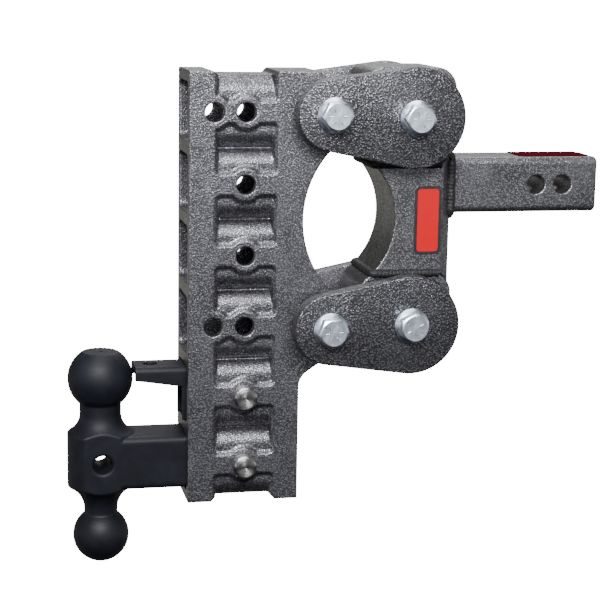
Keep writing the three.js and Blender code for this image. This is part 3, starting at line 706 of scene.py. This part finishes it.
def build_knuckle():
    """The knuckle, with a heel behind each housing and chamfered back edges, and its decal."""
    block = prism_y("knuckle", knuckle_outline(), -HALF_THICK, HALF_THICK)
    middle, half = housing_section("upper")
    foot_rise = middle.y - half - FIT_GAP - MID_Z
    for direction in (1, -1):
        z0, z1 = sorted(MID_Z + direction * rise for rise in (foot_rise - 1, foot_rise + HEEL_DEPTH))
        add(block, box("heel", KNUCKLE_BACK - HEEL_LENGTH, KNUCKLE_BACK, -HALF_THICK, HALF_THICK, z0, z1))
    for level in LEVELS:
        middle, half = housing_section(level)
        room = rounded_box(half + FIT_GAP, half + FIT_GAP, HOUSING_CORNER + FIT_GAP, middle, 16)
        cut(block, prism_y("room", room, -TOOL_REACH, TOOL_REACH))
    side = HALF_THICK - KNUCKLE_CHAMFER
    slope_x = KNUCKLE_BACK - KNUCKLE_CHAMFER
    plan = [(KNUCKLE_PLAN_FRONT, -HALF_THICK), (slope_x, -HALF_THICK), (KNUCKLE_BACK, -side)]
    plan += [(x, -y) for x, y in reversed(plan)]
    common(block, prism_z("plan", plan, *KNUCKLE_PLAN_HEIGHTS))
    cast(block, voxel=0.8, passes=4, faces=70_000)
    dress(block, KNUCKLE_PAINT, "knuckle_paint", "knuckle", "knuckle_block")

    low, high = box_of("knuckle_badge")
    middle = centre_of("knuckle_badge").xz
    half_x, half_z = (high.x - low.x) / 2, (high.z - low.z) / 2
    border = prism_y("badge_border", rounded_box(half_x, half_z, BADGE_CORNER, middle), low.y, high.y + 0.4)
    dress(sharp_by_angle(border), DECAL_BORDER, "decal", "knuckle", "knuckle_badge")
    outline = rounded_box(half_x - BADGE_BORDER, half_z - BADGE_BORDER, BADGE_FACE_CORNER, middle)
    face = prism_y("badge_face", outline, low.y - 0.15, low.y)
    dress(sharp_by_angle(face), DECAL, "decal", "knuckle")


def build_housing(level):
    """A square tube with rounded corners, and the four rubber cords that hold its bar."""
    node = f"{level}_torsion_housing"
    low, high = box_of(node)
    centre, half = housing_section(level)
    tube = prism_y(f"{level}_housing", rounded_box(half, half, HOUSING_CORNER, centre, 16), low.y, high.y)
    cavity = rounded_box(CAVITY_HALF, CAVITY_HALF, CAVITY_CORNER, centre)
    cut(tube, prism_y("cavity", cavity, -TOOL_REACH, TOOL_REACH))
    cast(tube, voxel=0.9, passes=5, faces=50_000)
    dress(tube, KNUCKLE_PAINT, "knuckle_paint", "knuckle", node)
    for place in ("front_top", "back_top", "front_bottom", "back_bottom"):
        cord = f"{level}_cord_{place}"
        low, high = box_of(cord)
        radius = (high.x - low.x) / 2
        ends = [(0, low.y), (radius - CORD_CHAMFER, low.y), (radius, low.y + CORD_CHAMFER)]
        profile = ends + [(r, -y) for r, y in reversed(ends)]
        piece = lathe(f"{level}_rubber_{place}", profile, centre_of(cord).xz)
        dress(sharp_by_angle(centred(piece)), RUBBER, "rubber", "knuckle", cord)


def bead(name, path, radius, ripple=3.4, sides=14, closed=False):
    """A bead of weld laid along a path of points, in small overlapping ripples."""
    points = [Vector(p) for p in path]
    if closed:
        points.append(points[0])
    spots = [points[0]]
    for a, b in zip(points, points[1:]):
        steps = max(1, round((b - a).length / (ripple / 6)))
        spots += [a.lerp(b, (i + 1) / steps) for i in range(steps)]
    if closed:
        spots.pop()
    rings, run = [], 0
    for i, spot in enumerate(spots):
        before = spots[i - 1] if i or closed else spot
        after = spots[(i + 1) % len(spots)] if i + 1 < len(spots) or closed else spot
        ahead = (after - before).normalized()
        upright = abs(ahead.z) > 0.9
        across = (ahead.orthogonal() if upright else Vector((0, 0, 1)).cross(ahead)).normalized()
        up = ahead.cross(across)
        run += (spot - before).length
        swell = 1 + 0.1 * abs(math.sin(math.pi * run / ripple)) + 0.05 * math.sin(1.7 * run / ripple)
        ring = []
        for k in range(sides):
            turn = 2 * math.pi * k / sides
            ring.append(spot + (across * math.cos(turn) + up * math.sin(turn)) * radius * swell)
        rings.append(ring)
    return loft(name, rings, closed=closed)


def build_welds():
    """The bead round the shank, and a bead along three sides of each housing."""
    low, high = box_of("shank_weld")
    half = (high.z - low.z) / 2 - 4.4
    face = KNUCKLE_BACK + 0.4
    path = [(face, y, z) for y, z in rounded_box(half, half, 7, (0, 0), 10)]
    ring = bead("shank_bead", path, SHANK_BEAD, closed=True)
    dress(ring, WELD_IN_PAINTED_SHADE, "weld", "knuckle", "shank_weld")
    for level in LEVELS:
        node = f"{level}_housing_weld"
        low, high = box_of(node)
        z, side = centre_of(node).z, high.y - HOUSING_BEAD_INSET
        back = KNUCKLE_BACK - KNUCKLE_CHAMFER - 2
        corner = low.x + HOUSING_BEAD_INSET + BEAD_CORNER
        front = arc((corner, side - BEAD_CORNER), BEAD_CORNER, 90, 180, 6)
        front += arc((corner, BEAD_CORNER - side), BEAD_CORNER, 180, 270, 6)
        path = [(back, side), *front, (back, -side)]
        run = bead(f"{level}_housing_bead", [(x, y, z) for x, y in path], HOUSING_BEAD)
        dress(run, WELD_IN_PAINTED_SHADE, "weld", "knuckle", node)


def build_shank():
    """The square shank with its chamfered tip and two holes, and the label on its top."""
    low, high = box_of("receiver_shank")
    bar = prism_x("shank", rounded_box(high.y, high.z, SHANK_CORNER), low.x - 0.3, high.x - SHANK_CHAMFER)
    tip_steps = ((high.x - 2 * SHANK_CHAMFER, 0), (high.x - SHANK_CHAMFER, 0), (high.x, SHANK_CHAMFER))
    tip = loft(
        "tip",
        [
            [(x, y, z) for y, z in rounded_box(high.y - inset, high.z - inset, SHANK_CORNER - inset)]
            for x, inset in tip_steps
        ],
    )
    add(bar, tip)
    cut(bar, *[hole_y((x, 0), PIN_HOLE) for x in SHANK_HOLES_X])
    cast(bar, voxel=0.85, passes=4, faces=60_000)
    dress(bar, KNUCKLE_PAINT, "knuckle_paint", "knuckle", "receiver_shank")

    low, high = box_of("shank_label")
    middle = centre_of("shank_label")
    outline = rounded_box((high.x - low.x) / 2, high.y, 2, (middle.x, 0))
    label = prism_z("label", outline, low.z - 0.25, high.z)
    dress(sharp_by_angle(label), LABEL, "label", "knuckle", "shank_label")


# Links and pivots


def teardrop(level, inset):
    """A link plate's outline, drawn in by inset: a big round end on the bar and a small one on the column."""
    left, right = PIVOTS[level]["column"], PIVOTS[level]["bar"]
    run = right - left
    along = math.degrees(math.atan2(run.y, run.x))
    spread = 90 + math.degrees(math.asin((PLATE_BIG - PLATE_SMALL) / run.length))
    big = arc(right, PLATE_BIG - inset, along - spread, along + spread, 72)
    small = arc(left, PLATE_SMALL - inset, along + spread, along - spread + 360, 48)
    return big + small


# The far plates take the lighter knuckle paint and the near plates the darker link paint, though they are the
# same part. The lighter far plates are painted light, for the light falling on their inner faces.
PLATE_PAINTS = {"near": (LINK_PAINT, "link_paint"), "far": (KNUCKLE_PAINT, "knuckle_paint")}


def build_link(level):
    """Two plates with their bolts, the torsion bar and pivot pin between them, and the column's bearings."""
    body = f"{level}_link"

    def plate_outline(inset):
        return teardrop(level, inset)

    for place in SIDES:
        node = f"{level}_link_plate_{place}"
        low, high = box_of(node)
        plate = soft_prism_y(f"{level}_plate_{place}", plate_outline, low.y, high.y, PLATE_ROUND)
        paint, slot = PLATE_PAINTS[place]
        dress(sharp_by_angle(plate, 50), paint, slot, body, node)
        for kind in ("column", "bar"):
            build_bolt(level, kind, place)

    node = f"{level}_torsion_bar"
    low, high = box_of(node)
    centre, half = centre_of(node).xz, (high.x - low.x) / 2 / math.sqrt(2)

    def section(inset):
        """The square bar's outline, drawn in by inset and standing on a corner."""
        square = rounded_box(half - inset, half - inset, BAR_CORNER - inset / 2, (0, 0), 4)
        c = math.sqrt(0.5)
        return [(centre.x + c * (x - z), centre.y + c * (x + z)) for x, z in square]

    bar = soft_prism_y(f"{level}_bar", section, low.y, high.y, BAR_ROUND, 2)
    dress(sharp_by_angle(centred(bar)), BARE_STEEL, "bare_steel", body, node)

    node = f"{level}_pivot_pin"
    low, high = box_of(node)
    radius = (high.x - low.x) / 2
    ends = [(0, low.y), (radius - PIVOT_CHAMFER, low.y), (radius, low.y + PIVOT_CHAMFER)]
    pin = lathe(f"{level}_pin", ends + [(r, -y) for r, y in reversed(ends)], centre_of(node).xz, sides=72)
    dress(sharp_by_angle(centred(pin)), BARE_STEEL, "bare_steel", body, node)

    turned = {
        "bushing": (BRONZE, "bronze", BUSHING_BORE),
        "thrust_washer": (BARE_STEEL, "bare_steel", WASHER_BORE),
    }
    for kind, (material, slot, bore) in turned.items():
        for place in SIDES:
            node = f"{level}_{kind}_{place}"
            low, high = box_of(node)
            outer = (high.x - low.x) / 2
            ring = ring_y(f"{level}_{kind}_ring_{place}", centre_of(node).xz, outer, bore, low.y, high.y)
            dress(sharp_by_angle(centred(ring)), material, slot, "column", node)


def build_bolt(level, kind, place):
    """Hex flange bolt with six radial grade marks on its head."""
    node = f"{level}_{kind}_bolt_{place}"
    side = SIDES[place]
    low, high = box_of(node)
    centre = centre_of(node).xz
    top = high.y if side > 0 else -low.y
    face = top - MARK_RISE
    seat = top - BOLT_HEAD
    flange = (high.x - low.x) / 2
    hex_radius = BOLT_ACROSS_FLATS / math.sqrt(3)
    turn = BOLT_TURN[level][kind]

    def outward(profile):
        """The profile with its heights counted outward from the middle plane."""
        return [(r, side * y) for r, y in profile]

    corners = arc(centre, hex_radius, turn, turn + 300, 5)
    head = prism_y(f"{level}_{kind}_hex_{place}", corners, side * (seat + 1), side * face)
    chamfer_width, chamfer_height = BOLT_CHAMFER
    crown = [
        (0, seat),
        (30, seat),
        (30, face - 8),
        (hex_radius, face - chamfer_height),
        (hex_radius - chamfer_width, face),
        (0, face),
    ]
    common(head, lathe("crown", outward(crown), centre))
    skirt = [
        (0, seat - BOLT_SHANK_LENGTH),
        (BOLT_SHANK, seat - BOLT_SHANK_LENGTH),
        (BOLT_SHANK, seat),
        (flange - 0.6, seat),
        (flange, seat + 0.7),
        (flange, seat + 1.7),
        (flange - 0.7, seat + 2.5),
        (hex_radius - 1.5, seat + 4.6),
        (0, seat + 4.6),
    ]
    add(head, lathe("skirt", outward(skirt), centre))
    marks = []
    inner, outer = MARK_ENDS
    for k in range(6):
        angle = math.radians(turn + 60 * k)
        ahead = Vector((math.cos(angle), math.sin(angle)))
        across = Vector((-math.sin(angle), math.cos(angle)))
        rings = []
        for y, half in zip((face - 0.2, top), MARK_HALF_WIDTHS):
            places = ((inner, -half), (outer, -half), (outer, half), (inner, half))
            quad = [centre + ahead * r + across * w for r, w in places]
            rings.append([(q.x, side * y, q.y) for q in quad])
        marks.append(loft("mark", rings))
    add(head, *marks)
    dress(sharp_by_angle(centred(head), 20), ZINC, "zinc", f"{level}_link", node)


# Ball mount, pintle lock and pins


def build_ball_mount():
    """A forged post with a ball at each end and flat sides round its hub. Its arm goes into the column."""
    low, high = box_of("dual_ball_mount")

    def ball(spec, start, end, steps=40):
        """Part of a ball's profile, between two angles up from its lowest point."""
        z, radius = spec
        turned = [start + (end - start) * i / steps for i in range(steps + 1)]
        return [(radius * math.sin(t), z - radius * math.cos(t)) for t in turned]

    def reach(spec, distance):
        """The angle at which a ball is that far from its axis."""
        return math.asin(distance / spec[1])

    def flare(a, b, c, steps=14):
        """A curve from a to c that leans towards b."""
        points = []
        for t in (i / steps for i in range(steps + 1)):
            u = 1 - t
            points.append(tuple(u**2 * p + 2 * t * u * q + t * t * r for p, q, r in zip(a, b, c)))
        return points

    profile = [
        (0, low.z),
        *ball(LOWER_BALL, reach(LOWER_BALL, LOWER_FLAT), math.pi - reach(LOWER_BALL, LOWER_NECK)),
        *flare((LOWER_NECK, HUB_BOTTOM - 22), (LOWER_NECK + 0.5, HUB_BOTTOM - 8), (HUB_RADIUS, HUB_BOTTOM)),
        *flare((HUB_RADIUS, HUB_TOP), (UPPER_NECK + 0.4, HUB_TOP + 6.5), (UPPER_NECK, HUB_TOP + 17.5)),
        *ball(UPPER_BALL, reach(UPPER_BALL, UPPER_NECK), math.pi - reach(UPPER_BALL, UPPER_FLAT)),
        (2.5, high.z),
        (0, high.z - 2.5),
    ]
    post = lathe("ball_mount", profile, (BALL_X, 0), "Z", 128)
    flat = HUB_HALF_WIDTH
    x0, x1 = FLATS_X
    z0, z1 = HUB_BOTTOM - 19, HUB_TOP + 8.5
    spans = [sorted((side * flat, side * TOOL_REACH)) for side in SIDES.values()]
    cut(post, *[box("side", x0, x1, y0, y1, z0, z1) for y0, y1 in spans])
    add(post, prism_x("arm", rounded_box(flat, ARM_HALF_HEIGHT, ARM_CORNER, (0, ARM_Z)), BALL_X, high.x))
    mouth = PIN_HOLE + CROSS_HOLE_MOUTH
    for side in SIDES.values():
        steps = ((PIN_HOLE, flat - CROSS_HOLE_MOUTH), (mouth, flat), (mouth, flat + 5))
        cone = [(r, side * y) for r, y in steps]
        cut(post, lathe("mouth", cone, (BALL_X, ARM_Z)))
    cut(post, hole_y((BALL_X, ARM_Z), PIN_HOLE), hole_y((HOLE_X, ROW_Z[BALL_MOUNT_ROW]), PIN_HOLE))
    cast(post, voxel=0.75, passes=7, faces=130_000)
    dress(post, BLACK_PAINT, "black_paint", "column", "dual_ball_mount")


def build_pintle_lock():
    """An upside-down channel, bent from plate."""
    low, high = box_of("pintle_lock")
    top, free, end = high.z, low.x, high.x
    cheek = [
        (free, top),
        (free, top - LOCK_CHEEK[0]),
        (LOCK_LEG_X, top - LOCK_CHEEK[1]),
        (LOCK_LEG_X, low.z),
        (end, low.z),
        (end, top),
    ]
    lock = prism_y("pintle", cheek, low.y, high.y)
    outside_bend, inside_bend = LOCK_BEND
    outer = rounded_box(high.y, 40, outside_bend, (0, top - 40), 6)
    common(lock, prism_x("bend", outer, free - 5, end + 5))
    inside = rounded_box(high.y - LOCK_WALL, 60, inside_bend, (0, top - LOCK_WALL - 60), 4)
    cut(lock, prism_x("hollow", inside, free - 30, end + 30))
    cut(lock, hole_y((HOLE_X, ROW_Z[LOCK_ROW]), PIN_HOLE))
    cut(lock, lathe("slot", [(LOCK_HOLE, top - 30), (LOCK_HOLE, top + 30)], (LOCK_HOLE_X, 0), "Z"))
    cast(lock, voxel=0.6, passes=4, faces=60_000)
    dress(lock, BLACK_PAINT, "black_paint", "column", "pintle_lock")


def build_pins():
    """The two hitch pins, each with a stepped head and a cross hole for its clip."""
    for level in LEVELS:
        node = f"{level}_hitch_pin"
        low, high = box_of(node)
        centre = centre_of(node).xz
        head, near, far = (high.x - low.x) / 2, low.y, high.y
        profile = [
            (0, near + 0.3),
            (0.7, near),
            (head - 3.0, near),
            (head - 2.7, near + 0.25),
            (head - 1.7, near + 0.3),
            (head, near + 1.9),
            (head, -HALF_THICK - 0.3),
            (PIN_RADIUS, -HALF_THICK - 0.3),
            (PIN_RADIUS, far - 2),
            (PIN_RADIUS - 0.6, far - 0.8),
            (PIN_RADIUS - 2, far),
            (0, far),
        ]
        pin = lathe(f"{level}_pin_body", profile, centre, sides=96)
        clip_y = centre_of(f"{level}_hitch_pin_clip").y
        cross = [(CLIP_HOLE, centre.y - 20), (CLIP_HOLE, centre.y + 20)]
        cut(pin, lathe("cross", cross, (centre.x, clip_y), "Z", 24))
        dress(sharp_by_angle(centred(pin), 30), STAINLESS, "stainless", f"{level}_pin", node)
        build_clip(level, centre, clip_y)


def build_clip(level, centre, y):
    """A hairpin of round wire: a straight leg through the pin, a loop on top and a wavy leg outside."""
    curve = bpy.data.curves.new("wire", "CURVE")
    curve.dimensions = "3D"
    curve.bevel_depth = CLIP_WIRE * MM
    curve.bevel_resolution = 4
    curve.use_fill_caps = True
    line = curve.splines.new("NURBS")
    line.points.add(len(CLIP_ROUTE) - 1)
    for point, (dx, dz) in zip(line.points, CLIP_ROUTE):
        point.co = (*(Vector((centre.x + dx, y, centre.y + dz)) * MM), 1)
    line.order_u = 4
    line.use_endpoint_u = True
    line.resolution_u = 10
    wire = bpy.data.objects.new("wire", curve)
    bpy.context.scene.collection.objects.link(wire)
    graph = bpy.context.evaluated_depsgraph_get()
    mesh = bpy.data.meshes.new_from_object(wire.evaluated_get(graph))
    bpy.data.objects.remove(wire)
    clip = bpy.data.objects.new(f"{level}_clip_wire", mesh)
    bpy.context.scene.collection.objects.link(clip)
    dress(clip, SPRING_STEEL, "spring_steel", f"{level}_clip", f"{level}_hitch_pin_clip")


build_column()
build_knuckle()
for level in LEVELS:
    build_housing(level)
    build_link(level)
build_welds()
build_shank()
build_ball_mount()
build_pintle_lock()
build_pins()


# Studio, in metres. A room is (height from 0, straight down, to 1, straight up; colour).

FLOOR_Z = -0.55
FLOOR_HALF = 120
FLOOR_GLOW = 16
FRONT_ROOM = (
    (0.0, (0.015, 0.015, 0.016)),
    (0.29, (0.03, 0.03, 0.032)),
    (0.36, (0.03, 0.03, 0.032)),
    (0.42, (0.16, 0.16, 0.168)),
    (0.48, (1.15, 1.17, 1.23)),
    (0.56, (0.95, 0.95, 0.98)),
    (0.66, (0.38, 0.38, 0.37)),
    (0.8, (0.12, 0.12, 0.10)),
    (1.0, (0.11, 0.11, 0.09)),
)
BACK_ROOM = (
    (0.0, (0.1, 0.1, 0.09)),
    (0.42, (0.46, 0.455, 0.41)),
    (0.55, (0.10, 0.10, 0.085)),
    (1.0, (0.05, 0.05, 0.045)),
)
BACK_BEGINS, BACK_FULL = 0.1, 0.6  # where the front room gives way to the back one, along Y
LIGHT_TARGET = Vector((-0.2, 0, -0.05))
LIGHTS = (  # name, azimuth, elevation, distance, width, height, power
    ("key", -18, 32, 1.5, 1.1, 0.5, 54),
    ("top", -10, 84, 1.6, 1.2, 0.8, 20),
    ("rim", 165, 40, 2.2, 1.4, 0.7, 20),
)


def build_studio():
    """A pale floor, a room that is bright at eye level in front and dim elsewhere, and three soft lights."""
    pale = Shader("floor", Roughness=0.9)
    pale.principled.inputs["Base Color"].default_value = (0.8, 0.8, 0.8, 1)
    pale.principled.inputs["Emission Color"].default_value = (1, 1, 1, 1)
    pale.principled.inputs["Emission Strength"].default_value = FLOOR_GLOW
    size = FLOOR_HALF / MM
    corners = [(-size, -size, 0), (size, -size, 0), (size, size, 0), (-size, size, 0)]
    floor = mesh_object("floor", corners, [(0, 1, 2, 3)])
    floor.location.z = FLOOR_Z
    floor.data.materials.append(pale.material)
    floor.visible_diffuse = False
    floor.visible_glossy = False

    world = bpy.data.worlds.new("studio")
    bpy.context.scene.world = world
    world.use_nodes = True
    tree = world.node_tree
    place = tree.nodes.new("ShaderNodeTexCoord")
    split = tree.nodes.new("ShaderNodeSeparateXYZ")
    tree.links.new(place.outputs["Generated"], split.inputs[0])

    def gradient(axis, low, high, stops):
        """A colour along one axis of the room. stops are (place between low and high, colour)."""
        along = tree.nodes.new("ShaderNodeMapRange")
        along.inputs[1].default_value, along.inputs[2].default_value = low, high
        ramp = tree.nodes.new("ShaderNodeValToRGB")
        for _ in range(len(stops) - 2):
            ramp.color_ramp.elements.new(0.5)
        for element, (at, colour) in zip(ramp.color_ramp.elements, stops):
            element.position, element.color = at, (*colour, 1)
        tree.links.new(split.outputs[axis], along.inputs[0])
        tree.links.new(along.outputs[0], ramp.inputs[0])
        return ramp.outputs[0]

    front = gradient(2, -1, 1, FRONT_ROOM)
    back = gradient(2, -1, 1, BACK_ROOM)
    share = gradient(1, BACK_BEGINS, BACK_FULL, ((0.0, (0, 0, 0)), (1.0, (1, 1, 1))))
    room = tree.nodes.new("ShaderNodeMix")
    room.data_type = "RGBA"
    tree.links.new(share, room.inputs[0])
    tree.links.new(front, room.inputs[6])
    tree.links.new(back, room.inputs[7])
    tree.links.new(room.outputs[2], tree.nodes["Background"].inputs["Color"])

    for name, azimuth, elevation, distance, width, height, power in LIGHTS:
        a, e = math.radians(azimuth), math.radians(elevation)
        away = Vector((math.sin(a) * math.cos(e), -math.cos(a) * math.cos(e), math.sin(e)))
        lamp = bpy.data.lights.new(name, "AREA")
        lamp.shape = "RECTANGLE"
        lamp.size, lamp.size_y, lamp.energy = width, height, power
        light = bpy.data.objects.new(name, lamp)
        light.location = LIGHT_TARGET + away * distance
        light.rotation_euler = (-away).to_track_quat("-Z", "Y").to_euler()
        bpy.context.scene.collection.objects.link(light)


CAMERA_PLACE = Vector((-0.55627, -1.48527, 0.18338))
CAMERA_YAW, CAMERA_PITCH, CAMERA_ROLL = (math.radians(a) for a in (12.0457, -10.8376, 0.9687))
CAMERA_LENS = 101.24
CAMERA_SENSOR = 36


def build_camera():
    yaw, pitch, roll = CAMERA_YAW, CAMERA_PITCH, CAMERA_ROLL
    ahead = Vector((math.sin(yaw) * math.cos(pitch), math.cos(yaw) * math.cos(pitch), math.sin(pitch)))
    right = ahead.cross(Vector((0, 0, 1))).normalized()
    up = right.cross(ahead)
    tilted_right = right * math.cos(roll) + up * math.sin(roll)
    tilted_up = up * math.cos(roll) - right * math.sin(roll)
    data = bpy.data.cameras.new("camera")
    data.lens, data.sensor_width = CAMERA_LENS, CAMERA_SENSOR
    camera = bpy.data.objects.new("camera", data)
    axes = Matrix((tilted_right, tilted_up, -ahead)).transposed()
    camera.matrix_world = Matrix.Translation(CAMERA_PLACE) @ axes.to_4x4()
    bpy.context.scene.collection.objects.link(camera)
    bpy.context.scene.camera = camera


build_studio()
build_camera()
